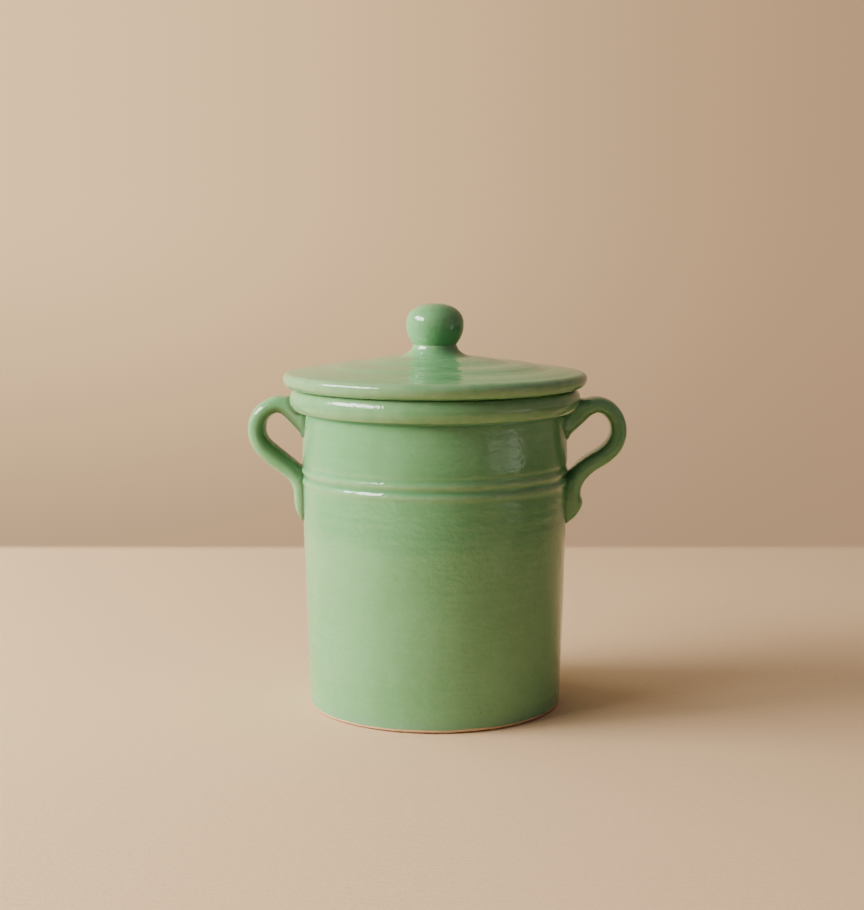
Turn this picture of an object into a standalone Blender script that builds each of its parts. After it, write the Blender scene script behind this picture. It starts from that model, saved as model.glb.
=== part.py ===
"""A ceramic fermenting crock of about five litres, on its foot at z = 0 with its axis on Z.

A thrown jar with a rolled collar, a double ridge and two strap handles carries a drop-on lid with a
turned knob. Two half-moon stones lie on the floor of the jar, to hold the food under its brine.
"""

import math

import bmesh
import bpy
from mathutils import Matrix

MM = 0.001
TURN_STEPS = 60
FIT_GAP = 0.3 * MM  # between pieces that rest on each other or are luted together
AXIS_WELD = 0.01 * MM
WELD = 0.001 * MM
SHARP_ANGLE = 50  # degrees between faces that are drawn with a crease

# Jar: outer radii of the thrown wall and the heights they are at.
FOOT_RADIUS = 91.2 * MM
SHOULDER_RADIUS = 95.3 * MM
SHOULDER_Z = 178 * MM
NECK_RADIUS = 93.0 * MM
NECK_Z = 213 * MM
WALL_SWELL = 1.35  # power of the curve from the foot to the shoulder
SHOULDER_TURN = 1.7  # power of the curve that draws the shoulder in to the neck
PLAIN_WALL_HEIGHTS = [z * MM for z in (135, 110, 85, 60, 30, 12)]
SHOULDER_HEIGHTS = [z * MM for z in (200, 188)]
FOOT_ROUNDING = 3.0 * MM
FOOT_RING_INNER_RADIUS = 78 * MM
FOOT_RECESS = 2 * MM

# Collar: an arc that stands out under the rim.
COLLAR_ARC_RADIUS = 9.7 * MM
COLLAR_RADIUS = 104.3 * MM
COLLAR_Z = 221.5 * MM
COLLAR_HALF_ANGLE = 52
RIM_Z = 229.2 * MM
RIM_EDGE_RADIUS = 98 * MM
RIM_ROUNDING = 3 * MM

# Ridges: two waves on the wall under the shoulder, from a quarter wave under the lower crest.
RIDGE_PITCH = 7.8 * MM
RIDGE_HEIGHT = 0.8 * MM
LOWER_RIDGE_Z = 163.0 * MM
FIRST_WAVE = -0.25
LAST_WAVE = 1.75
UPPER_GROOVE_WAVE = 1.25
UPPER_GROOVE_SHARE = 0.45  # of the ridges' height
STEPS_PER_WAVE = 6

# Inside of the jar.
MOUTH_RADIUS = 86.5 * MM
FLOOR_RADIUS = 84.0 * MM
FLOOR_Z = 9 * MM
FLOOR_ROUNDING = 6 * MM

# Lid, with heights above its seat on the rim.
LID_SEAT_Z = RIM_Z + FIT_GAP
LID_RADIUS = 108.9 * MM
LID_EDGE_WIDTH = 5.5 * MM
LID_EDGE_WIDEST = 7.3 * MM
LID_EDGE_TOP = 11.5 * MM
LID_EDGE_BOTTOM = 0.9 * MM
LID_SEAT_RADIUS = 101.5 * MM
DOME_TOP_RADIUS = 31 * MM
DOME_TOP = 21.9 * MM
PEDESTAL_RADIUS = 15.7 * MM
PEDESTAL_TOP = 31.0 * MM
FLANGE_RADIUS = 85.0 * MM
FLANGE_WIDTH = 6 * MM
FLANGE_DEPTH = 8.5 * MM
FLANGE_ROOT_WIDTH = 3 * MM
FLANGE_ROOT_HEIGHT = 2 * MM
LID_HOLLOW_EDGE = 5.5 * MM
LID_HOLLOW_SHOULDER_RADIUS = 40 * MM
LID_HOLLOW_SHOULDER = 12.0 * MM
LID_HOLLOW_TOP = 13.5 * MM

# Knob, with heights above the lid's seat.
KNOB_RADIUS = 20.6 * MM
KNOB_WIDEST = 45.0 * MM
KNOB_TOP = 60.0 * MM
KNOB_BASE = PEDESTAL_TOP + FIT_GAP
KNOB_SHOULDER_POWER = 2.3  # squarer than an ellipse over the top

# Handles: a pulled strap, with its side outline in millimetres from the jar's axis and foot.
HANDLE_WIDTH = 28 * MM
HANDLE_EDGE_ROUNDING = 4 * MM
HANDLE_OUTER_MM = [
    (97, 217.5), (104.5, 221.3), (111, 222.8), (117.8, 222.5), (125.2, 219.5), (131.5, 213.3),
    (135, 206.3), (136, 199.2), (134.8, 191), (130.6, 183.2), (124.2, 176.8), (117, 171.4),
    (110.6, 166.6), (106.2, 161.8), (104, 156.5), (103.6, 150.5), (103.4, 144.5), (100.9, 138.4),
    (96.6, 134), (90, 130),
]
HANDLE_INNER_MM = [
    (89, 166), (93, 170), (99.2, 175.2), (105, 179.7), (112, 184.9), (117.5, 190), (121.2, 195.8),
    (122.8, 201.6), (121.8, 206.2), (119, 209.1), (114.4, 210.2), (109, 208.2), (104.2, 203.8),
    (99.8, 198), (96, 192.3), (89, 184),
]

# Weights: two half-moon stones on the floor of the jar.
WEIGHT_RADIUS = 80 * MM
WEIGHT_THICKNESS = 18 * MM
WEIGHT_SPLIT = 3 * MM
WEIGHT_CORNER = 6 * MM
WEIGHT_EDGE_ROUNDING = 3 * MM
FINGER_HOLE_RADIUS = 10 * MM
FINGER_HOLE_Y = 36 * MM


def clear_scene():
    for obj in list(bpy.data.objects):
        bpy.data.objects.remove(obj, do_unlink=True)


def new_collection(name):
    collection = bpy.data.collections.new(name)
    bpy.context.scene.collection.children.link(collection)
    return collection


def new_material(name, colour, roughness):
    material = bpy.data.materials.new(name)
    material.use_nodes = True
    shader = material.node_tree.nodes["Principled BSDF"]
    shader.inputs["Base Color"].default_value = (*colour, 1)
    shader.inputs["Roughness"].default_value = roughness
    shader.inputs["Metallic"].default_value = 0
    material.diffuse_color = (*colour, 1)
    return material


def arc(centre_r, centre_z, width, height, start, end, steps, power=2.0):
    """Points on an ellipse about (centre_r, centre_z) from start to end, in degrees from +r towards +z."""
    points = []
    for i in range(steps + 1):
        angle = math.radians(start + (end - start) * i / steps)
        c, s = math.cos(angle), math.sin(angle)
        r = centre_r + width * math.copysign(abs(c) ** (2 / power), c)
        z = centre_z + height * math.copysign(abs(s) ** (2 / power), s)
        points.append((r, z))
    return points


def round_arc(centre_r, centre_z, radius, start, end, steps):
    """Points on a circle, as arc gives them."""
    return arc(centre_r, centre_z, radius, radius, start, end, steps)


def wall_radius(z):
    """Outer radius of the jar's wall, which swells from the foot to the shoulder and draws in above it."""
    if z <= SHOULDER_Z:
        share = 1 - z / SHOULDER_Z
        return SHOULDER_RADIUS - (SHOULDER_RADIUS - FOOT_RADIUS) * share**WALL_SWELL
    share = (z - SHOULDER_Z) / (NECK_Z - SHOULDER_Z)
    return SHOULDER_RADIUS - (SHOULDER_RADIUS - NECK_RADIUS) * share**SHOULDER_TURN


def ridge(wave):
    """How far the double ridge stands out, at a number of waves above the lower crest."""
    height = RIDGE_HEIGHT * math.cos(2 * math.pi * wave)
    return height * UPPER_GROOVE_SHARE if wave > UPPER_GROOVE_WAVE else height


def ridges():
    """The double ridge from the top down. It starts and ends on the plain wall."""
    points = []
    for i in range(round((LAST_WAVE - FIRST_WAVE) * STEPS_PER_WAVE) + 1):
        wave = LAST_WAVE - i / STEPS_PER_WAVE
        z = LOWER_RIDGE_Z + wave * RIDGE_PITCH
        points.append((wall_radius(z) + ridge(wave), z))
    return points


def jar_outside():
    """The jar's outer side, from the edge of the rim down to the ring that it stands on."""
    centre = COLLAR_RADIUS - COLLAR_ARC_RADIUS
    collar = round_arc(centre, COLLAR_Z, COLLAR_ARC_RADIUS, COLLAR_HALF_ANGLE, -COLLAR_HALF_ANGLE, 7)
    shoulder = [(wall_radius(z), z) for z in [NECK_Z] + SHOULDER_HEIGHTS]
    wall = [(wall_radius(z), z) for z in PLAIN_WALL_HEIGHTS]
    foot = round_arc(FOOT_RADIUS - FOOT_ROUNDING, FOOT_ROUNDING, FOOT_ROUNDING, 0, -90, 3)
    return collar + shoulder + ridges() + wall + foot


def jar_outline():
    floor = round_arc(FLOOR_RADIUS - FLOOR_ROUNDING, FLOOR_Z + FLOOR_ROUNDING, FLOOR_ROUNDING, -90, 0, 4)
    lip = round_arc(MOUTH_RADIUS + RIM_ROUNDING, RIM_Z - RIM_ROUNDING, RIM_ROUNDING, 180, 90, 3)
    underside = [
        (FOOT_RING_INNER_RADIUS, 0),
        (FOOT_RING_INNER_RADIUS - FOOT_RECESS, FOOT_RECESS),
        (0, FOOT_RECESS),
    ]
    return [(0, FLOOR_Z)] + floor + lip + [(RIM_EDGE_RADIUS, RIM_Z)] + jar_outside() + underside


def lid_outline():
    """From the pedestal, over the rounded edge and under the flange to the middle of the hollow."""
    flare_width = DOME_TOP_RADIUS - PEDESTAL_RADIUS
    flare = arc(DOME_TOP_RADIUS, PEDESTAL_TOP, flare_width, PEDESTAL_TOP - DOME_TOP, 180, 270, 5)
    edge_r = LID_RADIUS - LID_EDGE_WIDTH
    above = LID_EDGE_TOP - LID_EDGE_WIDEST
    below = LID_EDGE_WIDEST - LID_EDGE_BOTTOM
    upper_edge = arc(edge_r, LID_EDGE_WIDEST, LID_EDGE_WIDTH, above, 90, 0, 5)
    lower_edge = arc(edge_r, LID_EDGE_WIDEST, LID_EDGE_WIDTH, below, 0, -90, 5)[1:]
    seat = [(LID_SEAT_RADIUS, 0), (FLANGE_RADIUS, 0)]
    half = FLANGE_WIDTH / 2
    flange = round_arc(FLANGE_RADIUS - half, half - FLANGE_DEPTH, half, 0, -180, 4)
    root_r = FLANGE_RADIUS - FLANGE_WIDTH
    hollow = [
        (root_r, LID_HOLLOW_EDGE - FLANGE_ROOT_HEIGHT),
        (root_r - FLANGE_ROOT_WIDTH, LID_HOLLOW_EDGE),
        (LID_HOLLOW_SHOULDER_RADIUS, LID_HOLLOW_SHOULDER),
        (0, LID_HOLLOW_TOP),
    ]
    return [(0, PEDESTAL_TOP)] + flare + upper_edge + lower_edge + seat + flange + hollow


def knob_outline():
    """A ball with a square-shouldered top, cut flat where it stands on the lid's pedestal."""
    above = KNOB_TOP - KNOB_WIDEST
    top = arc(0, KNOB_WIDEST, KNOB_RADIUS, above, 90, 0, 7, KNOB_SHOULDER_POWER)
    drop = KNOB_WIDEST - KNOB_BASE
    lower_height = drop / math.sqrt(1 - (PEDESTAL_RADIUS / KNOB_RADIUS) ** 2)
    lowest = -math.degrees(math.asin(drop / lower_height))
    bottom = arc(0, KNOB_WIDEST, KNOB_RADIUS, lower_height, 0, lowest, 4)[1:]
    return top + bottom + [(0, KNOB_BASE)]


def grown(outline, by):
    """The outline moved out by a distance along its own normals."""
    moved = []
    for i, (r, z) in enumerate(outline):
        before, after = outline[max(i - 1, 0)], outline[min(i + 1, len(outline) - 1)]
        dr, dz = after[0] - before[0], after[1] - before[1]
        length = math.hypot(dr, dz)
        moved.append((r - by * dz / length, z + by * dr / length))
    return moved


def turned(name, outline, collection):
    """A solid of revolution about Z, from an outline that starts and ends on the axis."""
    mesh = bpy.data.meshes.new(name)
    edges = [(i, i + 1) for i in range(len(outline) - 1)]
    mesh.from_pydata([(r, 0, z) for r, z in outline], edges, [])
    obj = bpy.data.objects.new(name, mesh)
    collection.objects.link(obj)
    screw = obj.modifiers.new("Turn", "SCREW")
    screw.axis = "Z"
    screw.steps = screw.render_steps = TURN_STEPS
    screw.use_merge_vertices = True
    screw.merge_threshold = AXIS_WELD
    screw.use_smooth_shade = True
    return obj


def slab(name, splines, thickness, rounding, collection):
    """A flat outline extruded to a thickness about its plane, with rounded edges inside the outline."""
    curve = bpy.data.curves.new(name, "CURVE")
    curve.dimensions = "2D"
    curve.fill_mode = "BOTH"
    curve.extrude = thickness / 2 - rounding
    curve.bevel_depth = rounding
    curve.bevel_resolution = 1
    curve.offset = -rounding
    curve.resolution_u = 3
    curve.render_resolution_u = 0
    for kind, points in splines:
        spline = curve.splines.new(kind)
        spline.use_cyclic_u = True
        if kind == "BEZIER":
            spline.bezier_points.add(len(points) - 1)
            for knot, (x, y) in zip(spline.bezier_points, points):
                knot.co = (x, y, 0)
                knot.handle_left_type = knot.handle_right_type = "AUTO"
        else:
            spline.points.add(len(points) - 1)
            for point, (x, y) in zip(spline.points, points):
                point.co = (x, y, 0, 1)
    obj = bpy.data.objects.new(name, curve)
    collection.objects.link(obj)
    return obj


def as_mesh(obj, turn):
    """The mesh of a curve object, its caps welded on, after a turning matrix. The curve is removed."""
    bpy.context.view_layer.update()
    evaluated = obj.evaluated_get(bpy.context.evaluated_depsgraph_get())
    mesh = bpy.data.meshes.new_from_object(evaluated)
    mesh.name = obj.name
    work = bmesh.new()
    work.from_mesh(mesh)
    bmesh.ops.remove_doubles(work, verts=work.verts, dist=WELD)
    bmesh.ops.transform(work, matrix=turn, verts=work.verts)
    bmesh.ops.recalc_face_normals(work, faces=work.faces)
    work.to_mesh(mesh)
    work.free()
    mesh.shade_smooth()
    mesh.set_sharp_from_angle(angle=math.radians(SHARP_ANGLE))
    bpy.data.objects.remove(obj, do_unlink=True)
    return mesh


def make_jar(collection, glaze):
    jar = turned("crock_body", jar_outline(), collection)
    jar.data.materials.append(glaze)
    return jar


def make_wall_cutter(cutters):
    """The space that the jar and its collar fill, with the gap that a luted piece keeps to them."""
    outside = [(RIM_EDGE_RADIUS, RIM_Z)] + jar_outside()
    skin = grown(outside, FIT_GAP)
    cutter = turned("wall_cutter", [(0, skin[0][1])] + skin + [(0, skin[-1][1])], cutters)
    cutter.display_type = "WIRE"
    cutter.hide_render = True
    return cutter


def make_handles(collection, jar, cutter, glaze):
    """Two alike handles on the jar's left (-X) and right (+X), cut to the wall that they are luted to."""
    outline = [(x * MM, z * MM) for x, z in HANDLE_OUTER_MM + HANDLE_INNER_MM]
    strap = slab("handle_strap", [("BEZIER", outline)], HANDLE_WIDTH, HANDLE_EDGE_ROUNDING, collection)
    mesh = as_mesh(strap, Matrix.Rotation(math.pi / 2, 4, "X"))
    mesh.materials.append(glaze)
    for name, turn in (("handle_right", 0), ("handle_left", math.pi)):
        handle = bpy.data.objects.new(name, mesh)
        collection.objects.link(handle)
        handle.parent = jar
        handle.rotation_euler.z = turn
        cut = handle.modifiers.new("Cut to the wall", "BOOLEAN")
        cut.operation = "DIFFERENCE"
        cut.object = cutter


def make_lid(collection, glaze):
    lid = turned("lid", lid_outline(), collection)
    lid.location.z = LID_SEAT_Z
    knob = turned("lid_knob", knob_outline(), collection)
    knob.parent = lid
    for obj in (lid, knob):
        obj.data.materials.append(glaze)


def half_moon():
    """A half disc with rounded corners, flat side towards -Y, as points in its plane."""
    flat = WEIGHT_SPLIT / 2
    corner_y = flat + WEIGHT_CORNER
    corner_x = math.sqrt((WEIGHT_RADIUS - WEIGHT_CORNER) ** 2 - corner_y**2)
    lean = math.degrees(math.atan2(corner_y, corner_x))
    right = arc(corner_x, corner_y, WEIGHT_CORNER, WEIGHT_CORNER, -90, lean, 4)
    round_side = arc(0, 0, WEIGHT_RADIUS, WEIGHT_RADIUS, lean, 180 - lean, 24)[1:-1]
    left = arc(-corner_x, corner_y, WEIGHT_CORNER, WEIGHT_CORNER, 180 - lean, 270, 4)
    return right + round_side + left


def make_weights(collection, stone):
    """Two half-moon stones on the floor, each with a finger hole, split along X."""
    hole = arc(0, FINGER_HOLE_Y, FINGER_HOLE_RADIUS, FINGER_HOLE_RADIUS, 0, 360, 16)[:-1]
    splines = [("POLY", half_moon()), ("POLY", hole)]
    flat = slab("weight", splines, WEIGHT_THICKNESS, WEIGHT_EDGE_ROUNDING, collection)
    mesh = as_mesh(flat, Matrix.Identity(4))
    mesh.materials.append(stone)
    for name, turn in (("weight_half_back", 0), ("weight_half_front", math.pi)):
        weight = bpy.data.objects.new(name, mesh)
        collection.objects.link(weight)
        weight.location.z = FLOOR_Z + FIT_GAP + WEIGHT_THICKNESS / 2
        weight.rotation_euler.z = turn


def main():
    clear_scene()
    collection = new_collection("ceramic_crock_fermenter")
    cutters = new_collection("cutters")
    glaze = new_material("green_glaze", (0.33, 0.47, 0.30), 0.16)
    stone = new_material("bare_stoneware", (0.50, 0.37, 0.25), 0.75)
    jar = make_jar(collection, glaze)
    make_handles(collection, jar, make_wall_cutter(cutters), glaze)
    make_lid(collection, glaze)
    make_weights(collection, stone)


main()
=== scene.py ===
"""Looks of the ceramic fermenting crock: fine turned surfaces, pulled handles and a green glaze over clay."""

import math

import bpy
import numpy as np
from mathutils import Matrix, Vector
from mathutils.noise import noise


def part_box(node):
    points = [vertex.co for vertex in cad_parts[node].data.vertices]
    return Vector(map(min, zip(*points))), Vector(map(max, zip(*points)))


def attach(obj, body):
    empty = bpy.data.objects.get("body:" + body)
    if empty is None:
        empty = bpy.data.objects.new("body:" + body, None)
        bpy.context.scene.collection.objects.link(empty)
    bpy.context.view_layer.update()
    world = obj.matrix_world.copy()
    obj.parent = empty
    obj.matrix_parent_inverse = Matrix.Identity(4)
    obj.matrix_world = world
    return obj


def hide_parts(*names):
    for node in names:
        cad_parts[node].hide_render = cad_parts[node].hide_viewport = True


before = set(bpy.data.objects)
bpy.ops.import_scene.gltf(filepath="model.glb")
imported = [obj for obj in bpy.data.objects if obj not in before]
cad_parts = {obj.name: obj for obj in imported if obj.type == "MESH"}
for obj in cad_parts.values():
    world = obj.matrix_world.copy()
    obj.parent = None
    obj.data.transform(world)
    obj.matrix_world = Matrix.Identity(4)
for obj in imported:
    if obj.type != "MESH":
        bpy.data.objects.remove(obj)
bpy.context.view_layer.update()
MM = 0.001

# Sizes that follow from the frame.
JAR_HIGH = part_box("crock_body")[1]
LID_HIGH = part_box("lid")[1]
KNOB_LOW, KNOB_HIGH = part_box("lid_knob")
RIM_Z = JAR_HIGH.z
COLLAR_RADIUS = JAR_HIGH.x
LID_RADIUS = LID_HIGH.x
PEDESTAL_TOP = LID_HIGH.z
KNOB_RADIUS = KNOB_HIGH.x
KNOB_TOP = KNOB_HIGH.z

# Jar.
WALL_BOTTOM_Z = 8 * MM
FOOT_RADIUS = 91.2 * MM
SHOULDER_RADIUS = 95.3 * MM
SHOULDER_Z = 178 * MM
NECK_RADIUS = 93.0 * MM
NECK_Z = 213 * MM
WALL_SWELL = 1.35  # power of the curve from the foot to the shoulder
SHOULDER_TURN = 1.7  # power of the curve that draws the shoulder in to the neck
NECK_EDGE_Z = 208.3 * MM  # crisp edge where the wall ends and the neck's cove begins
NECK_COVE = 0.4 * MM
NECK_BEAD = 0.16 * MM
NECK_BEAD_WIDTH = 0.45 * MM
FOOT_ROUNDING = 3.0 * MM
FOOT_RING_INNER_RADIUS = 78 * MM
FOOT_RECESS = 2 * MM
COLLAR_ARC_RADIUS = 9.7 * MM
COLLAR_Z = 221.5 * MM
COLLAR_HALF_ANGLE = 52
RIM_EDGE_RADIUS = 98 * MM
RIDGE_PITCH = 7.8 * MM
RIDGE_HEIGHT = 0.78 * MM
LOWER_RIDGE_Z = 163 * MM
FIRST_WAVE = -0.25
LAST_WAVE = 1.75
UPPER_GROOVE_WAVE = 1.25
UPPER_GROOVE_SHARE = 0.6  # of the ridges' height
THROWN_RINGS = ((0.045 * MM, 9.5 * MM, 0.6), (0.02 * MM, 5.3 * MM, 0.0))  # height, pitch, phase
RINGS_STRONGEST_Z = 138 * MM
RINGS_REACH = 22 * MM
RINGS_LEAST = 0.35
MOUTH_RADIUS = 86.5 * MM
FLOOR_RADIUS = 84 * MM
FLOOR_Z = 9 * MM
FLOOR_ROUNDING = 6 * MM
RIM_ROUNDING = 3 * MM

# Lid, with heights above its seat.
FIT_GAP = 0.3 * MM
SEAT_Z = RIM_Z + FIT_GAP
LID_EDGE_WIDTH = 5.5 * MM
LID_EDGE_WIDEST = 7.3 * MM
LID_EDGE_TOP = 11.5 * MM
LID_EDGE_BOTTOM = 0.9 * MM
LID_SEAT_RADIUS = 101.5 * MM
DOME_TOP_RADIUS = 31 * MM
DOME_TOP = 21.9 * MM
PEDESTAL_RADIUS = 15.7 * MM
FLANGE_RADIUS = 85 * MM
FLANGE_WIDTH = 6 * MM
FLANGE_DEPTH = 8.5 * MM
LID_HOLLOW_EDGE = 5.5 * MM
LID_HOLLOW_TOP = 13.5 * MM
LID_HOLLOW_SHOULDER_RADIUS = 40 * MM
LID_HOLLOW_SHOULDER = 12.0 * MM
FLANGE_ROOT_WIDTH = 3 * MM
FLANGE_ROOT_HEIGHT = 2 * MM
LID_RINGS = ((0.38 * MM, 2.4, 0.4), (0.045 * MM, 9.3, 0.0))  # height, how many on the slope, phase
KNOB_WIDEST = 45 * MM
KNOB_SHOULDER_POWER = 2.3  # squarer than an ellipse over the top
KNOB_ROOT = 1.2 * MM  # how far the knob is sunk in the pedestal

# Unevenness of the thrown pieces, at its most.
JAR_WOBBLE = 0.35 * MM
LID_WOBBLE = 0.30 * MM
KNOB_WOBBLE = 0.25 * MM
WOBBLE_ROUND = 1.3  # radius of the circle in the noise that the angle runs round
WOBBLE_RISE = 0.05  # metres of height to one unit of the noise
WOBBLE_FADE_RADIUS = 20 * MM  # no wobble at the axis, all of it from here outwards

# Glaze in hollows and on edges, and painted shade on the straps.
HOLLOW_REACH = 2.5 * MM
KNOB_POOLING = 0.28
# Strength of each strap's painted shade and root pooling; the left strap is painted darker.
RIGHT_STRAP_POOL_AND_SHADE = 0.6
LEFT_STRAP_POOL_AND_SHADE = 1.7

# How fine the turned surfaces are.
TURN_STEPS = 240
KNOB_STEPS = 144
LID_STEP = 0.8 * MM
JAR_STEP = 0.9 * MM
KNOB_STEP = 0.5 * MM
HIDDEN_STEP = 2 * MM  # inside and under the jar
LID_SLOPE_STEP = 2 * MM  # before its long, low rings are added


def arc(centre_r, centre_z, width, height, start, end, steps=24, power=2.0):
    """Points on an ellipse about (centre_r, centre_z) from start to end, in degrees from +r towards +z."""
    angles = np.radians(np.linspace(start, end, steps + 1))
    c, s = np.cos(angles), np.sin(angles)
    r = centre_r + width * np.sign(c) * np.abs(c) ** (2 / power)
    z = centre_z + height * np.sign(s) * np.abs(s) ** (2 / power)
    return np.column_stack([r, z])


def round_arc(centre_r, centre_z, radius, start, end, steps=24):
    """Points on a circle, given as for arc."""
    return arc(centre_r, centre_z, radius, radius, start, end, steps)


def even(outline, step):
    """The outline with its points evenly spaced along it."""
    points = np.array(outline, float)
    length = np.concatenate([[0], np.cumsum(np.hypot(*np.diff(points, axis=0).T))])
    places = np.linspace(0, length[-1], max(2, int(length[-1] / step) + 1))
    return np.column_stack([np.interp(places, length, points[:, k]) for k in (0, 1)])


def smoothed(outline, rounds):
    """The outline with its corners softened, its two ends kept."""
    points = outline.copy()
    for _ in range(rounds):
        points[1:-1] = (points[:-2] + 2 * points[1:-1] + points[2:]) / 4
    return points


def wall_radius(z):
    """Outer radius of the jar's plain wall."""
    low = SHOULDER_RADIUS - (SHOULDER_RADIUS - FOOT_RADIUS) * np.clip(1 - z / SHOULDER_Z, 0, 1) ** WALL_SWELL
    share = np.clip((z - SHOULDER_Z) / (NECK_Z - SHOULDER_Z), 0, 1)
    return low - (SHOULDER_RADIUS - NECK_RADIUS) * share**SHOULDER_TURN


def ridge(z):
    """How far the double ridge stands out from the plain wall."""
    waves = (z - LOWER_RIDGE_Z) / RIDGE_PITCH
    inside = (waves >= FIRST_WAVE) & (waves <= LAST_WAVE)
    height = RIDGE_HEIGHT * np.where(waves > UPPER_GROOVE_WAVE, UPPER_GROOVE_SHARE, 1.0)
    return np.where(inside, height * np.cos(2 * np.pi * waves), 0.0)


def neck_cove(z):
    """How far the neck is cut in over the wall's upper edge, which is a hairline bead."""
    share = np.clip((z - NECK_EDGE_Z) / (NECK_Z - NECK_EDGE_Z), 0, 1)
    return NECK_COVE * share - NECK_BEAD * np.exp(-(((z - NECK_EDGE_Z) / NECK_BEAD_WIDTH) ** 2))


def throwing_rings(z):
    """Faint rings that the potter's fingers left, strongest under the ridges."""
    rings = sum(height * np.sin(2 * np.pi * z / pitch + phase) for height, pitch, phase in THROWN_RINGS)
    strength = np.exp(-(((z - RINGS_STRONGEST_Z) / RINGS_REACH) ** 2))
    return rings * (RINGS_LEAST + (1 - RINGS_LEAST) * strength)


def jar_outline():
    """From the middle of the floor, up the inside, over the rim and down the outside to the foot's middle."""
    floor = round_arc(FLOOR_RADIUS - FLOOR_ROUNDING, FLOOR_Z + FLOOR_ROUNDING, FLOOR_ROUNDING, -90, 0)
    lip = round_arc(MOUTH_RADIUS + RIM_ROUNDING, RIM_Z - RIM_ROUNDING, RIM_ROUNDING, 180, 90)
    half = COLLAR_HALF_ANGLE
    collar = round_arc(COLLAR_RADIUS - COLLAR_ARC_RADIUS, COLLAR_Z, COLLAR_ARC_RADIUS, half, -half, 40)
    heights = np.linspace(NECK_Z, WALL_BOTTOM_Z, 500)
    radii = wall_radius(heights) + ridge(heights) - neck_cove(heights) + throwing_rings(heights)
    wall = np.column_stack([radii, heights])
    foot = round_arc(FOOT_RADIUS - FOOT_ROUNDING, FOOT_ROUNDING, FOOT_ROUNDING, 0, -90)
    recess = [
        (FOOT_RING_INNER_RADIUS, 0),
        (FOOT_RING_INNER_RADIUS - FOOT_RECESS, FOOT_RECESS),
        (0, FOOT_RECESS),
    ]
    inside = even(np.vstack([[(0, FLOOR_Z)], floor, lip[:1]]), HIDDEN_STEP)
    outside = even(np.vstack([lip, [(RIM_EDGE_RADIUS, RIM_Z)], collar, wall, foot]), JAR_STEP)
    underside = even(np.vstack([foot[-1:], recess]), HIDDEN_STEP)
    return smoothed(np.vstack([inside[:-1], outside, underside[1:]]), 2)


def lid_rings(r):
    """Low rings that the thrower left on the lid's slope, fading out at its two ends."""
    share = (r - DOME_TOP_RADIUS) / (LID_RADIUS - LID_EDGE_WIDTH - DOME_TOP_RADIUS)
    waves = sum(height * np.sin(2 * np.pi * share * count + phase) for height, count, phase in LID_RINGS)
    return waves * np.sin(np.pi * np.clip(share, 0, 1))


def lid_outline():
    """From the top of the pedestal, over the edge and under the flange to the middle of the hollow."""
    edge_r = LID_RADIUS - LID_EDGE_WIDTH
    widest = SEAT_Z + LID_EDGE_WIDEST
    flare_width = DOME_TOP_RADIUS - PEDESTAL_RADIUS
    flare_height = PEDESTAL_TOP - SEAT_Z - DOME_TOP
    flare = arc(DOME_TOP_RADIUS, PEDESTAL_TOP, flare_width, flare_height, 180, 270)
    upper_edge = arc(edge_r, widest, LID_EDGE_WIDTH, LID_EDGE_TOP - LID_EDGE_WIDEST, 90, 0)
    lower_edge = arc(edge_r, widest, LID_EDGE_WIDTH, LID_EDGE_WIDEST - LID_EDGE_BOTTOM, 0, -90)
    half = FLANGE_WIDTH / 2
    flange = round_arc(FLANGE_RADIUS - half, SEAT_Z + half - FLANGE_DEPTH, half, 0, -180)
    flange_inner = FLANGE_RADIUS - FLANGE_WIDTH
    hollow = [
        (flange_inner, SEAT_Z + LID_HOLLOW_EDGE - FLANGE_ROOT_HEIGHT),
        (flange_inner - FLANGE_ROOT_WIDTH, SEAT_Z + LID_HOLLOW_EDGE),
        (LID_HOLLOW_SHOULDER_RADIUS, SEAT_Z + LID_HOLLOW_SHOULDER),
        (0, SEAT_Z + LID_HOLLOW_TOP),
    ]
    seat = [(LID_SEAT_RADIUS, SEAT_Z), (FLANGE_RADIUS, SEAT_Z)]
    slope = even([flare[-1], upper_edge[0]], LID_SLOPE_STEP)[1:-1]
    slope[:, 1] += lid_rings(slope[:, 0])
    outline = np.vstack([[(0, PEDESTAL_TOP)], flare, slope, upper_edge, lower_edge, seat, flange, hollow])
    return smoothed(even(outline, LID_STEP), 2)


def knob_outline():
    """A ball with a square-shouldered top, from its top down to the pedestal."""
    widest = SEAT_Z + KNOB_WIDEST
    top = arc(0, widest, KNOB_RADIUS, KNOB_TOP - widest, 90, 0, 48, KNOB_SHOULDER_POWER)
    drop = widest - KNOB_LOW.z
    height = drop / math.sqrt(1 - (PEDESTAL_RADIUS / KNOB_RADIUS) ** 2)
    lowest = -math.degrees(math.asin(drop / height))
    bottom = arc(0, widest, KNOB_RADIUS, height, 0, lowest, 48)
    root = PEDESTAL_TOP - KNOB_ROOT
    stem = [(PEDESTAL_RADIUS - 0.3 * MM, PEDESTAL_TOP), (PEDESTAL_RADIUS - 0.6 * MM, root), (0, root)]
    return smoothed(even(np.vstack([top, bottom, stem]), KNOB_STEP), 2)


def mesh_object(name, points, faces):
    """A smooth-shaded object from an array of points and a list of faces."""
    mesh = bpy.data.meshes.new(name)
    mesh.from_pydata(points.tolist(), [], faces)
    mesh.shade_smooth()
    obj = bpy.data.objects.new(name, mesh)
    bpy.context.scene.collection.objects.link(obj)
    return obj


def set_attribute(obj, name, values):
    """A number on each vertex, which the glaze reads."""
    layer = obj.data.attributes.new(name, "FLOAT", "POINT")
    layer.data.foreach_set("value", np.asarray(values, np.float32).ravel())


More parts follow.
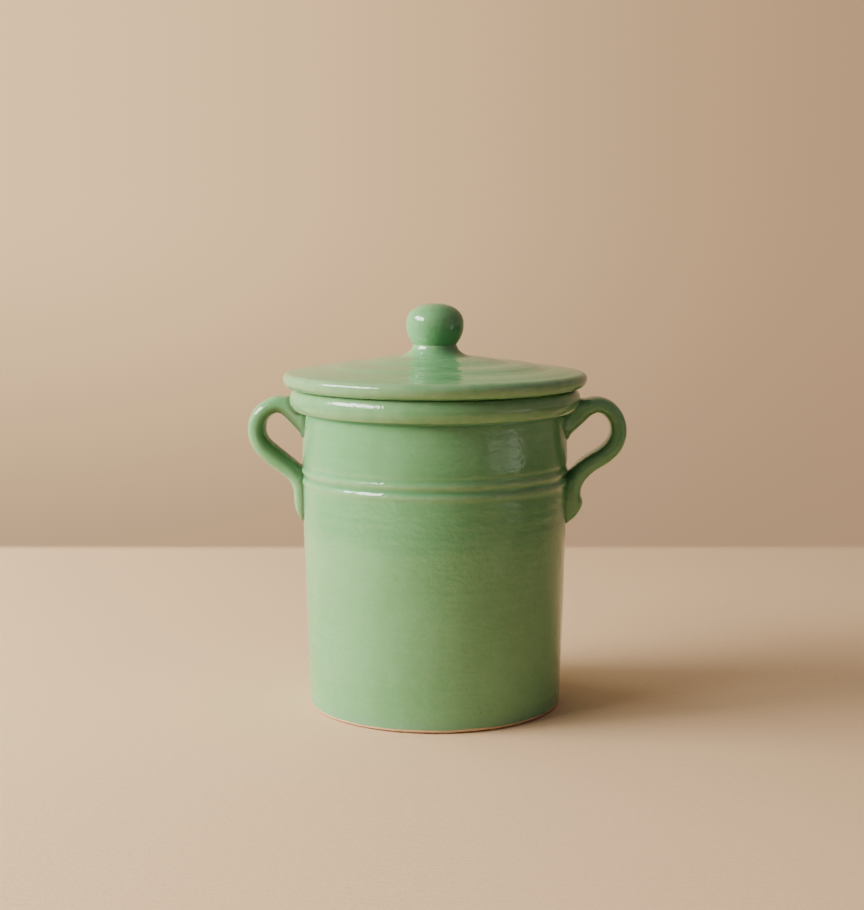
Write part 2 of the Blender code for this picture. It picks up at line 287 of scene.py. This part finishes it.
def wobble_field(angles, heights, seed):
    """Smooth unevenness from -1 to 1 over the angle round the axis and the height."""
    coarse_a = np.linspace(0, 2 * np.pi, 49)
    coarse_z = np.arange(heights.min() - 0.01, heights.max() + 0.02, 0.01)
    circle = [(WOBBLE_ROUND * math.cos(a) + seed, WOBBLE_ROUND * math.sin(a)) for a in coarse_a]
    grid = [[noise(Vector((x, y, z / WOBBLE_RISE))) for x, y in circle] for z in coarse_z]
    rows = np.array([np.interp(angles, coarse_a, row) for row in grid])
    place = np.interp(heights, coarse_z, np.arange(len(coarse_z)))
    low = np.floor(place).astype(int)
    share = (place - low)[:, None]
    return rows[low] * (1 - share) + rows[np.minimum(low + 1, len(rows) - 1)] * share


def hollowness(outline, reach):
    """How much each point of an outline lies in a hollow (+) or on an edge (-), from -1 to 1."""
    lengths = np.concatenate([[0], np.cumsum(np.hypot(*np.diff(outline, axis=0).T))])
    ahead = np.column_stack([np.interp(lengths + reach, lengths, outline[:, k]) for k in (0, 1)])
    behind = np.column_stack([np.interp(lengths - reach, lengths, outline[:, k]) for k in (0, 1)])
    middle = (ahead + behind) / 2 - outline
    along = ahead - behind
    normal = np.column_stack([-along[:, 1], along[:, 0]])
    normal /= np.maximum(np.hypot(*normal.T), 1e-9)[:, None]
    return np.clip((middle * normal).sum(axis=1) / reach * 2.5, -1, 1)


def turned(name, outline, wobble, seed, steps=TURN_STEPS, pooling=0.0):
    """A closed surface turned from axis to axis, a little uneven, with extra glaze pooled all over it."""
    inner = outline[1:-1]
    angles = np.arange(steps) * 2 * np.pi / steps
    fade = np.clip(inner[:, :1] / WOBBLE_FADE_RADIUS, 0, 1)
    out = wobble * wobble_field(angles, inner[:, 1], seed) * fade
    radii = inner[:, :1] + out
    heights = np.repeat(inner[:, 1:], steps, axis=1)
    rings = np.stack([radii * np.cos(angles), radii * np.sin(angles), heights], axis=2).reshape(-1, 3)
    points = np.vstack([[(0, 0, outline[0, 1])], rings, [(0, 0, outline[-1, 1])]])
    rows = len(inner)
    here = np.arange(steps)
    following = (here + 1) % steps
    quads = []
    for i in range(rows - 1):
        a, b = 1 + i * steps, 1 + (i + 1) * steps
        quads.append(np.column_stack([a + here, b + here, b + following, a + following]))
    end = 1 + (rows - 1) * steps
    caps = [(0, 1 + j, 1 + k) for j, k in zip(here, following)]
    caps += [(len(points) - 1, end + k, end + j) for j, k in zip(here, following)]
    obj = mesh_object(name, points, np.vstack(quads).tolist() + caps)
    hollow = np.minimum(hollowness(outline, HOLLOW_REACH) + pooling, 1)
    set_attribute(obj, "hollow", np.repeat(hollow, [1] + [steps] * rows + [1]))
    return obj


def through(stations, count):
    """Evenly many points on a smooth curve through the stations, whose rows may hold any numbers."""
    rows = np.array(stations, float)
    padded = np.vstack([2 * rows[0] - rows[1], rows, 2 * rows[-1] - rows[-2]])
    places = np.linspace(0, len(rows) - 1 - 1e-9, count)
    i = places.astype(int)
    t = (places - i)[:, None]
    a, b, c, d = padded[i], padded[i + 1], padded[i + 2], padded[i + 3]
    return 0.5 * (2 * b + (c - a) * t + (2 * a - 5 * b + 4 * c - d) * t**2 + (3 * b - a - 3 * c + d) * t**3)


def distance_outside(points, outline):
    """How far each (radius, height) point is outside the jar's outer side. It is negative inside."""
    start, step = outline[:-1], np.diff(outline, axis=0)
    best = np.full(len(points), 1e9)
    side = np.ones(len(points))
    for a, d in zip(start, step):
        share = np.clip(((points - a) @ d) / (d @ d), 0, 1)
        away = points - a - share[:, None] * d
        far = np.hypot(*away.T)
        nearer = far < best
        best = np.where(nearer, far, best)
        side = np.where(nearer, np.sign(away[:, 1] * d[0] - away[:, 0] * d[1]), side)
    return best * side


# Each handle's strap from the collar to the tail, in mm: x and z of its middle, thickness, width.
RIGHT_STRAP = [
    (85.0, 196.5, 18.0, 36.0),
    (93.0, 203.5, 17.5, 33.5),
    (101.0, 209.8, 16.0, 30.5),
    (108.5, 214.9, 13.4, 28.5),
    (116.3, 217.1, 11.8, 27.6),
    (123.5, 214.8, 11.8, 27.2),
    (128.8, 209.2, 12.0, 27.0),
    (131.4, 202.0, 12.2, 27.0),
    (131.2, 194.5, 12.5, 27.0),
    (128.1, 187.4, 12.9, 27.2),
    (122.1, 181.3, 13.3, 27.4),
    (114.6, 176.5, 13.4, 27.6),
    (107.7, 171.6, 13.2, 28.0),
    (102.5, 165.5, 13.0, 28.4),
    (99.6, 158.8, 12.8, 28.4),
    (98.8, 152.3, 13.2, 28.0),
    (98.6, 146.8, 16.4, 27.0),
    (97.3, 141.6, 14.2, 24.5),
    (95.0, 137.2, 10.8, 20.0),
    (91.5, 134.4, 6.5, 12.0),
]
LEFT_STRAP = [
    (85.0, 198.0, 18.0, 36.0),
    (93.2, 205.6, 17.5, 33.5),
    (100.9, 212.2, 15.2, 30.5),
    (107.6, 216.4, 13.0, 28.6),
    (114.2, 217.0, 12.2, 27.6),
    (120.6, 214.1, 12.4, 27.2),
    (125.4, 208.8, 12.8, 27.0),
    (127.6, 202.0, 13.0, 27.0),
    (127.2, 194.7, 13.2, 27.0),
    (123.8, 187.8, 13.7, 27.2),
    (117.6, 181.6, 14.2, 27.4),
    (110.3, 175.9, 14.0, 27.6),
    (103.6, 170.6, 13.6, 28.0),
    (98.4, 164.6, 13.2, 28.4),
    (95.8, 157.8, 12.6, 28.4),
    (95.3, 150.5, 12.4, 28.0),
    (94.9, 144.2, 12.0, 26.0),
    (93.4, 139.4, 10.6, 22.5),
    (90.8, 135.8, 8.0, 16.0),
]
STRAP_ROWS = 260
STRAP_STEPS = 72
STRAP_UNEVENNESS = 0.25 * MM
STRAP_EDGE_UNEVENNESS = 0.3 * MM
STRAP_UNEVEN_LENGTH = 16 * MM  # metres along the strap to one unit of the noise
STRAP_UNEVEN_ROUND = 1.5
FILLET = 4 * MM
FILLET_MOST = 1.6 * MM
FILLET_SMOOTHING = 6  # rounds
# Painted shade on the straps: a dark glaze colour on their inner sides, and at their roots together with
# pooled glaze.
ROOT_POOL_AND_SHADE_REACH = 5 * MM
ROOT_POOL_AND_SHADE = 0.9
INNER_SIDE_SHADE = 0.85
INNER_SIDE_SHADE_FROM = 0.25  # how far up the strap's edges the painted shade of the inner side reaches
OUTER_WALL_FROM = 87.5 * MM  # the jar's outline is its outer side beyond this radius
ROOT_RADIUS = 89 * MM  # the straps' ends stop here, inside the thickness of the wall


def strap_section(count):
    """Angles round a strap's section, and how far each lies along the flat between the two round edges."""
    angles = np.arange(count) * 2 * np.pi / count
    c = np.cos(angles)
    return angles, c * (15 - 10 * c**2 + 3 * c**4) / 8


def outward_normals(grid):
    """Unit normals of a tube's grid of points, whose rows are rings."""
    along = np.gradient(grid, axis=0)
    around = np.roll(grid, -1, axis=1) - np.roll(grid, 1, axis=1)
    normals = np.cross(around, along)
    return normals / np.maximum(np.linalg.norm(normals, axis=2, keepdims=True), 1e-12)


def strap_points(stations, outside, seed):
    """The rings of a pulled strap that swells into the jar, and how far outside the jar each point is."""
    x, z, thickness, width = through(stations, STRAP_ROWS).T * MM
    dx, dz = np.gradient(x), np.gradient(z)
    length = np.hypot(dx, dz)
    angles, flat_share = strap_section(STRAP_STEPS)
    across, out = np.cos(angles), np.sin(angles)
    along = np.concatenate([[0], np.cumsum(np.hypot(np.diff(x), np.diff(z)))])
    circle = [(STRAP_UNEVEN_ROUND * a + seed, STRAP_UNEVEN_ROUND * o) for a, o in zip(across, out)]
    uneven = np.array([[noise(Vector((s / STRAP_UNEVEN_LENGTH, a, o))) for a, o in circle] for s in along])
    half = thickness[:, None] / 2 * out + STRAP_UNEVENNESS * uneven * out
    px = x[:, None] - (dz / length)[:, None] * half
    pz = z[:, None] + (dx / length)[:, None] * half
    edge = np.minimum(thickness, width)[:, None] / 2
    py = (width[:, None] / 2 - edge) * flat_share + edge * across + STRAP_EDGE_UNEVENNESS * uneven * across
    grid = np.stack([px, py, pz], axis=2)
    flat = grid.reshape(-1, 3)
    near = distance_outside(np.column_stack([np.hypot(flat[:, 0], flat[:, 1]), flat[:, 2]]), outside)
    near = near.reshape(grid.shape[:2])
    rise = np.clip(FILLET - near, 0, FILLET)
    push = np.minimum(FILLET - np.sqrt(FILLET**2 - rise**2), FILLET_MOST)
    for _ in range(FILLET_SMOOTHING):
        push[1:-1] = (push[:-2] + 2 * push[1:-1] + push[2:]) / 4
        push = (np.roll(push, 1, axis=1) + 2 * push + np.roll(push, -1, axis=1)) / 4
    grid = grid + outward_normals(grid) * push[:, :, None]
    radius = np.hypot(grid[:, :, 0], grid[:, :, 1])
    grid[:, :, :2] *= np.maximum(1, ROOT_RADIUS / radius)[:, :, None]
    return grid, near


def handle(name, side, outside, stations, seed, pooling):
    """One handle as a closed tube of strap rings, on the side that the sign says, with painted shade on its
    inner side and pooled glaze with painted shade at its roots.
    """
    grid, near = strap_points(stations, outside, seed)
    grid[:, :, 0] *= side
    here = np.arange(STRAP_STEPS)
    following = (here + 1) % STRAP_STEPS
    faces = []
    for i in range(STRAP_ROWS - 1):
        a, b = i * STRAP_STEPS, (i + 1) * STRAP_STEPS
        faces.append(np.column_stack([a + here, a + following, b + following, b + here]))
    ends = [tuple(here[::-1]), tuple((STRAP_ROWS - 1) * STRAP_STEPS + here)]
    obj = mesh_object(name, grid.reshape(-1, 3), np.vstack(faces).tolist() + ends)
    if side < 0:
        obj.data.flip_normals()
    # The straps' "hollow" is painted shade on the inner side, and pooled glaze with painted shade at the
    # roots.
    root_pool_and_shade = np.clip(1 - near / ROOT_POOL_AND_SHADE_REACH, 0, 1) * ROOT_POOL_AND_SHADE
    inner_side_painted_shade = np.clip(INNER_SIDE_SHADE_FROM - np.sin(strap_section(STRAP_STEPS)[0]), 0, 1) * INNER_SIDE_SHADE
    set_attribute(obj, "hollow", pooling * np.maximum(root_pool_and_shade, inner_side_painted_shade))
    return obj


# Weights.
STONE_SPLIT_HALF = 1.5 * MM
STONE_CORNER = 6 * MM
STONE_ROUNDING = 3.5 * MM
STONE_VOXEL = 1.2 * MM
FINGER_HOLE_RADIUS = 10 * MM
FINGER_HOLE_Y = 36 * MM


def stone(name, node, side):
    """A half-moon weight with worn edges and a finger hole, as one finely faceted solid."""
    low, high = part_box(node)
    radius = max(abs(low.x), abs(high.x), abs(low.y), abs(high.y))
    corner_y = STONE_SPLIT_HALF + STONE_CORNER
    corner_x = math.sqrt((radius - STONE_CORNER) ** 2 - corner_y**2)
    lean = math.degrees(math.atan2(corner_y, corner_x))
    right = round_arc(corner_x, corner_y, STONE_CORNER, -90, lean, 10)
    round_side = round_arc(0, 0, radius, lean, 180 - lean, 90)[1:-1]
    left = round_arc(-corner_x, corner_y, STONE_CORNER, 180 - lean, 270, 10)
    hole = round_arc(0, FINGER_HOLE_Y, FINGER_HOLE_RADIUS, 0, 360, 48)[:-1]
    curve = bpy.data.curves.new(name, "CURVE")
    curve.dimensions = "2D"
    curve.fill_mode = "BOTH"
    curve.extrude = (high.z - low.z) / 2 - STONE_ROUNDING
    curve.bevel_depth = STONE_ROUNDING
    curve.bevel_resolution = 5
    curve.offset = -STONE_ROUNDING
    for outline in (np.vstack([right, round_side, left]), hole):
        spline = curve.splines.new("POLY")
        spline.use_cyclic_u = True
        spline.points.add(len(outline) - 1)
        for point, (x, y) in zip(spline.points, outline):
            point.co = (x, y * side, 0, 1)
    shape = bpy.data.objects.new(name + "_curve", curve)
    bpy.context.scene.collection.objects.link(shape)
    shape.location.z = (low.z + high.z) / 2
    remesh = shape.modifiers.new("Clay", "REMESH")
    remesh.mode = "VOXEL"
    remesh.voxel_size = STONE_VOXEL
    bpy.context.view_layer.update()
    evaluated = shape.evaluated_get(bpy.context.evaluated_depsgraph_get())
    mesh = bpy.data.meshes.new_from_object(evaluated)
    mesh.transform(shape.matrix_world)
    bpy.data.objects.remove(shape)
    obj = bpy.data.objects.new(name, mesh)
    bpy.context.scene.collection.objects.link(obj)
    smooth = obj.modifiers.new("Worn", "SMOOTH")
    smooth.factor = 0.6
    smooth.iterations = 6
    mesh.name = name
    mesh.shade_smooth()
    return obj


def new_material(name):
    """A material, its node tree and its shader."""
    material = bpy.data.materials.new(name)
    material.use_nodes = True
    return material, material.node_tree, material.node_tree.nodes["Principled BSDF"]


def add(tree, kind, inputs=(), **settings):
    """A shader node with its settings and its inputs, each a value or the socket that feeds it."""
    made = tree.nodes.new(kind)
    for key, value in settings.items():
        setattr(made, key, value)
    for key, value in dict(inputs).items():
        if isinstance(value, bpy.types.NodeSocket):
            tree.links.new(value, made.inputs[key])
        else:
            made.inputs[key].default_value = value
    return made


def calculate(tree, operation, a, b):
    """One sum on two numbers, each a value or the socket that feeds it."""
    return add(tree, "ShaderNodeMath", {0: a, 1: b}, operation=operation).outputs[0]


def times(tree, a, b):
    return calculate(tree, "MULTIPLY", a, b)


def weighted(tree, parts):
    """The sum of the values, each times its weight."""
    total = None
    for value, weight in parts:
        part = times(tree, value, weight)
        total = part if total is None else calculate(tree, "ADD", total, part)
    return total


def ramp(tree, value, low, high, to_low=0.0, to_high=1.0):
    """The value's place between low and high, smoothly, as a number from to_low to to_high."""
    inputs = {"Value": value, "From Min": low, "From Max": high, "To Min": to_low, "To Max": to_high}
    return add(tree, "ShaderNodeMapRange", inputs, interpolation_type="SMOOTHSTEP").outputs[0]


def mix(tree, share, first, second):
    """The first colour, or the second where the share is 1."""
    made = add(tree, "ShaderNodeMix", data_type="RGBA")
    for socket, value in zip((made.inputs[0], made.inputs[6], made.inputs[7]), (share, first, second)):
        if isinstance(value, bpy.types.NodeSocket):
            tree.links.new(value, socket)
        elif isinstance(value, tuple):
            socket.default_value = (*value, 1)
        else:
            socket.default_value = value
    return made.outputs[2]


def noise_of(tree, place, scale, detail, stretch=None):
    """Noise from 0 to 1, with this many features to the metre, on coordinates that may be stretched."""
    if stretch:
        place = add(tree, "ShaderNodeVectorMath", {0: place, 1: stretch}, operation="MULTIPLY").outputs[0]
    inputs = {"Vector": place, "Scale": scale, "Detail": detail}
    return add(tree, "ShaderNodeTexNoise", inputs).outputs[0]


def pits_of(tree, place, scale, share, size):
    """1 in round spots that a share of the cells hold, 0 elsewhere. Cells are 1 / scale metres."""
    cells = add(tree, "ShaderNodeTexVoronoi", {"Vector": place, "Scale": scale})
    chosen = add(tree, "ShaderNodeSeparateColor", {0: cells.outputs["Color"]}).outputs[0]
    kept = calculate(tree, "LESS_THAN", chosen, share)
    spot = ramp(tree, cells.outputs["Distance"], size, size * 0.4)
    return times(tree, spot, kept)


# Colours, linear.
GLAZE_THICK = (0.165, 0.400, 0.192)
GLAZE_THIN = (0.140, 0.360, 0.160)
GLAZE_POOLED = (0.075, 0.290, 0.140)
STRAP_PAINTED_SHADE = (0.075, 0.160, 0.078)  # painted shade on the inner side of the straps, and at their roots with pooled glaze
GLAZE_EDGE = (0.25, 0.42, 0.23)
GLAZE_PIT = (0.12, 0.19, 0.08)
GLAZE_ROLL = (0.15, 0.36, 0.21)  # the thick edge where the glaze stopped running
CLAY = (0.80, 0.60, 0.41)
CLAY_DARK = (0.66, 0.44, 0.28)
# Nearly black colour of the painted contact shadow under the foot.
PAINTED_CONTACT_SHADOW = (0.07, 0.04, 0.022)
STONEWARE = (0.58, 0.43, 0.30)
STONEWARE_DARK = (0.40, 0.27, 0.17)
IRON_SPOT = (0.10, 0.06, 0.04)
CLOTH = (0.795, 0.545, 0.342)
CLOTH_DARK = (0.675, 0.465, 0.288)

# Heights of the glaze's lines on the jar, of its painted contact shadow and of its painted reflection band.
BARE_BELOW = 2.7 * MM
BARE_WAVE = 1.6 * MM
GLAZE_ROLL_HEIGHT = 10 * MM
# Below this height the foot is painted dark as a contact shadow.
CONTACT_SHADOW_BELOW = 1.3 * MM
# Painted reflection band: the height of its wavy lower line, and where it fades out.
REFLECTION_BAND_WAVE = 26 * MM
REFLECTION_BAND_LINE = (139 * MM, 143 * MM)
REFLECTION_BAND_FADE = (166 * MM, 136 * MM)


def glaze_material(name, pooled_glaze_and_shade, on_the_jar=False):
    """Glossy green glaze, mottled and pitted, deep in hollows, thin on edges; on the straps the deep colour
    is painted shade. The jar's stops at its foot, over a painted contact shadow, and has a painted reflection
    band on its body.
    """
    material, tree, shader = new_material(name)
    place = add(tree, "ShaderNodeTexCoord").outputs["Object"]
    hollow = add(tree, "ShaderNodeAttribute", attribute_name="hollow").outputs["Fac"]
    cloud = noise_of(tree, place, 22, 3)
    blotch = noise_of(tree, place, 110, 4)
    run = noise_of(tree, place, 1, 3, (75, 75, 10))
    ring = noise_of(tree, place, 1, 2, (9, 9, 420))
    grain = noise_of(tree, place, 380, 3)
    tone = weighted(tree, ((cloud, 0.8), (blotch, 0.5), (run, 0.45), (ring, 0.32), (grain, 0.5)))
    colour = mix(tree, ramp(tree, tone, 1.02, 1.56), GLAZE_THIN, GLAZE_THICK)
    edge = times(tree, ramp(tree, hollow, -0.12, -0.6), ramp(tree, blotch, 0.3, 0.7, 0.25, 0.75))
    colour = mix(tree, edge, colour, GLAZE_EDGE)
    colour = mix(tree, ramp(tree, hollow, 0.08, 1.1, 0, 0.95), colour, pooled_glaze_and_shade)
    pits = pits_of(tree, place, 190, 0.10, 0.16)
    specks = pits_of(tree, place, 420, 0.05, 0.18)
    spots = times(tree, calculate(tree, "MAXIMUM", pits, specks), 0.45)
    colour = mix(tree, spots, colour, GLAZE_PIT)
    roughness = ramp(tree, blotch, 0.3, 0.7, 0.045, 0.09)
    broad = noise_of(tree, place, 55, 2)
    middling = noise_of(tree, place, 170, 2, (1, 1, 1.8))
    fine = noise_of(tree, place, 420, 2)
    height = weighted(tree, ((broad, 0.2), (middling, 0.26), (fine, 0.11), (ring, 0.02), (pits, -0.06)))
    if on_the_jar:
        z = add(tree, "ShaderNodeSeparateXYZ", {0: place}).outputs["Z"]
        # Painted reflection: a darker wavy band from about 140 mm up to 166 mm, where the glaze would mirror
        # the dark room above its mirroring of the table.
        reflection_band_z = calculate(tree, "ADD", z, times(tree, noise_of(tree, place, 16, 2), REFLECTION_BAND_WAVE))
        painted_reflection_band = times(tree, ramp(tree, reflection_band_z, *REFLECTION_BAND_LINE), ramp(tree, z, *REFLECTION_BAND_FADE))
        colour = mix(tree, times(tree, painted_reflection_band, 0.22), colour, GLAZE_POOLED)
        line = calculate(tree, "ADD", z, times(tree, noise_of(tree, place, 60, 2), -BARE_WAVE))
        line = calculate(tree, "ADD", line, BARE_WAVE / 2)
        roll = ramp(tree, line, BARE_BELOW + GLAZE_ROLL_HEIGHT, BARE_BELOW + 1 * MM)
        colour = mix(tree, times(tree, roll, 0.7), colour, GLAZE_ROLL)
        bare = ramp(tree, line, BARE_BELOW + 0.15 * MM, BARE_BELOW - 0.15 * MM)
        clay = mix(tree, noise_of(tree, place, 500, 4), CLAY_DARK, CLAY)
        colour = mix(tree, bare, colour, clay)
        # Painted contact shadow: the lowest part of the foot is painted nearly black.
        contact_shadow = ramp(tree, line, CONTACT_SHADOW_BELOW, CONTACT_SHADOW_BELOW - 0.4 * MM, 0, 0.85)
        colour = mix(tree, contact_shadow, colour, PAINTED_CONTACT_SHADOW)
        roughness = calculate(tree, "ADD", roughness, times(tree, bare, 0.65))
        height = calculate(tree, "SUBTRACT", height, times(tree, bare, 0.25))
    bump = add(tree, "ShaderNodeBump", {"Strength": 1.0, "Distance": MM, "Height": height})
    tree.links.new(colour, shader.inputs["Base Color"])
    tree.links.new(roughness, shader.inputs["Roughness"])
    tree.links.new(bump.outputs[0], shader.inputs["Normal"])
    shader.inputs["IOR"].default_value = 1.5
    return material


def stone_material():
    """Bare stoneware of the weights: buff, speckled with iron and slightly grogged."""
    material, tree, shader = new_material("bare_stoneware")
    place = add(tree, "ShaderNodeTexCoord").outputs["Object"]
    colour = mix(tree, noise_of(tree, place, 40, 4), STONEWARE_DARK, STONEWARE)
    spots = times(tree, pits_of(tree, place, 350, 0.15, 0.25), 0.7)
    colour = mix(tree, spots, colour, IRON_SPOT)
    height = weighted(tree, ((noise_of(tree, place, 900, 4), 1.0), (noise_of(tree, place, 150, 3), 1.5)))
    bump = add(tree, "ShaderNodeBump", {"Strength": 0.5, "Distance": 0.25 * MM, "Height": height})
    tree.links.new(colour, shader.inputs["Base Color"])
    tree.links.new(bump.outputs[0], shader.inputs["Normal"])
    shader.inputs["Roughness"].default_value = 0.82
    return material


# Table, wall, light and camera.
TABLE_NEAR_Y = -0.71
TABLE_FAR_Y = 0.62
TABLE_HALF_WIDTH = 0.76
TABLE_SOFT_EDGE = 0.035  # the far edge fades out over this length, as out of focus
BARE_ROOM = (0.055, 0.053, 0.052)  # what lights the crock evenly from in front
ROOM_IN_THE_GLAZE = (0.42, 0.33, 0.27)  # what the glaze mirrors of it
ROOM_FLOOR = (0.08, 0.065, 0.05)
DAYLIGHT = (1.08, 1.0, 0.83)
GLINT = (1.0, 0.98, 0.92)
LIGHT_DISTANCE = 2.2
GLINT_DISTANCE = 1.25
LIT_POINT = Vector((0, 0, 0.14))  # what every light faces
CAMERA_LENS = 67.5
CAMERA_SENSOR = 36
CAMERA_PLACE = (-0.002, -1.22, 0.341)
CAMERA_TILT = 7.5  # degrees below the horizon


def make_table():
    """A pale cloth-covered table, whose far edge meets the wall as a soft line."""
    sides = (-TABLE_HALF_WIDTH, TABLE_HALF_WIDTH)
    points = np.array([(x, y, 0) for y in (TABLE_NEAR_Y, TABLE_FAR_Y) for x in sides], float)
    table = mesh_object("table", points, [(0, 1, 3, 2)])
    material, tree, shader = new_material("pale_cloth")
    place = add(tree, "ShaderNodeTexCoord").outputs["Object"]
    thread = noise_of(tree, place, 1, 2, (1500, 700, 1))
    slub = noise_of(tree, place, 1, 3, (170, 420, 1))
    weave = calculate(tree, "SUBTRACT", calculate(tree, "ADD", thread, slub), 0.5)
    colour = mix(tree, weave, CLOTH_DARK, CLOTH)
    tree.links.new(colour, shader.inputs["Base Color"])
    bump = add(tree, "ShaderNodeBump", {"Strength": 0.7, "Distance": 0.25 * MM, "Height": weave})
    tree.links.new(bump.outputs[0], shader.inputs["Normal"])
    shader.inputs["Roughness"].default_value = 0.9
    y = add(tree, "ShaderNodeSeparateXYZ", {0: place}).outputs["Y"]
    tree.links.new(ramp(tree, y, TABLE_FAR_Y, TABLE_FAR_Y - TABLE_SOFT_EDGE), shader.inputs["Alpha"])
    table.data.materials.append(material)


def make_world():
    """A warm wall to look at, with painted light: lighter at the upper left, darker to the right and low
    down. For light, a paler wall behind the crock and a dim room in front.
    """
    world = bpy.data.worlds.new("studio")
    bpy.context.scene.world = world
    world.use_nodes = True
    tree = world.node_tree
    background = tree.nodes["Background"]
    direction = add(tree, "ShaderNodeTexCoord").outputs["Generated"]
    parts = add(tree, "ShaderNodeSeparateXYZ", {0: direction}).outputs
    # The wall that the camera sees has painted light and shade: brighter at the upper left, darker to the
    # right and below.
    across = ramp(tree, parts["X"], -0.27, 0.27)
    upper = mix(tree, across, (1.40, 0.91, 0.46), (0.62, 0.38, 0.20))
    lower = mix(tree, across, (0.66, 0.42, 0.23), (0.54, 0.325, 0.185))
    wall = mix(tree, ramp(tree, parts["Z"], -0.22, 0.02), lower, upper)
    ray = add(tree, "ShaderNodeLightPath").outputs
    room = mix(tree, ray["Is Glossy Ray"], BARE_ROOM, ROOM_IN_THE_GLAZE)
    room = mix(tree, ramp(tree, parts["Z"], -0.02, -0.10), room, ROOM_FLOOR)
    behind = mix(tree, across, (1.15, 0.86, 0.46), (0.43, 0.31, 0.175))
    light = mix(tree, ramp(tree, parts["Y"], 0.1, 0.9), room, behind)
    tree.links.new(mix(tree, ray["Is Camera Ray"], light, wall), background.inputs["Color"])


def area_light(name, azimuth, elevation, distance, width, height, watts, colour):
    """A window of light that faces the crock. Azimuth 0 is the camera's side and 90 the right."""
    light = bpy.data.lights.new(name, "AREA")
    light.shape = "RECTANGLE"
    light.size = width
    light.size_y = height
    light.energy = watts
    light.color = colour
    obj = bpy.data.objects.new(name, light)
    bpy.context.scene.collection.objects.link(obj)
    a, e = math.radians(azimuth), math.radians(elevation)
    towards = Vector((math.sin(a) * math.cos(e), -math.cos(a) * math.cos(e), math.sin(e)))
    obj.location = LIT_POINT + distance * towards
    obj.rotation_mode = "QUATERNION"
    obj.rotation_quaternion = towards.to_track_quat("Z", "Y")
    return obj


def make_lights():
    """Lights that the glaze doesn't mirror, then cards that only show as its highlights."""
    for name, azimuth, elevation, width, height, watts, colour in (
        ("window_left", -83, 14, 1.3, 0.62, 98, DAYLIGHT),
        ("window_left_high", -70, 34, 1.7, 0.8, 46, DAYLIGHT),
        ("window_behind", -117, 14, 1.1, 0.62, 30, DAYLIGHT),
        ("fill_front", 25, 25, 1.6, 1.2, 2.0, (1.15, 0.8, 0.95)),
        ("ceiling", 0, 88, 1.5, 1.5, 4.2, (1.0, 1.0, 1.05)),
    ):
        light = area_light(name, azimuth, elevation, LIGHT_DISTANCE, width, height, watts, colour)
        light.visible_glossy = False
    for name, azimuth, elevation, distance, width, height, watts in (
        ("glint_left", -72, 33.5, LIGHT_DISTANCE, 1.66, 0.66, 130),
        ("glint_right", 68, -1, GLINT_DISTANCE, 0.34, 0.24, 0.36),
        ("glint_right_dim", 52, -1, GLINT_DISTANCE, 0.26, 0.24, 0.17),
    ):
        card = area_light(name, azimuth, elevation, distance, width, height, watts, GLINT)
        card.visible_diffuse = False


def make_camera():
    """The photo's camera, which looks down a little."""
    camera = bpy.data.cameras.new("camera")
    camera.lens = CAMERA_LENS
    camera.sensor_width = CAMERA_SENSOR
    obj = bpy.data.objects.new("camera", camera)
    obj.location = CAMERA_PLACE
    obj.rotation_euler = (math.radians(90 - CAMERA_TILT), 0, 0)
    bpy.context.scene.collection.objects.link(obj)
    bpy.context.scene.camera = obj


def finish_piece(obj, material, node, body):
    """Give a piece its material and its moving body, and hide the CAD node that it stands for."""
    obj.data.materials.clear()
    obj.data.materials.append(material)
    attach(obj, body)
    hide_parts(node)


def main():
    make_camera()
    make_world()
    make_lights()
    make_table()
    jar_side = jar_outline()
    jar = turned("jar", jar_side, JAR_WOBBLE, 0.0)
    lid = turned("lid_disc", lid_outline(), LID_WOBBLE, 7.0)
    knob = turned("knob", knob_outline(), KNOB_WOBBLE, 3.0, KNOB_STEPS, KNOB_POOLING)
    outside = jar_side[jar_side[:, 0] > OUTER_WALL_FROM]
    right = handle("strap_right", 1, outside, RIGHT_STRAP, 2.0, RIGHT_STRAP_POOL_AND_SHADE)
    left = handle("strap_left", -1, outside, LEFT_STRAP, 9.0, LEFT_STRAP_POOL_AND_SHADE)
    back = stone("stone_back", "weight_half_back", 1)
    front = stone("stone_front", "weight_half_front", -1)
    glaze = glaze_material("green_glaze", GLAZE_POOLED)
    # Glaze for the straps, whose deep colour is painted shade.
    glaze_with_painted_shade = glaze_material("green_glaze_painted_shade", STRAP_PAINTED_SHADE)
    glaze_on_foot = glaze_material("green_glaze_on_foot", GLAZE_POOLED, True)
    buff = stone_material()
    finish_piece(jar, glaze_on_foot, "crock_body", "crock")
    finish_piece(left, glaze_with_painted_shade, "handle_left", "crock")
    finish_piece(right, glaze_with_painted_shade, "handle_right", "crock")
    finish_piece(lid, glaze, "lid", "lid")
    finish_piece(knob, glaze, "lid_knob", "lid")
    finish_piece(back, buff, "weight_half_back", "weight_back")
    finish_piece(front, buff, "weight_half_front", "weight_front")


main()
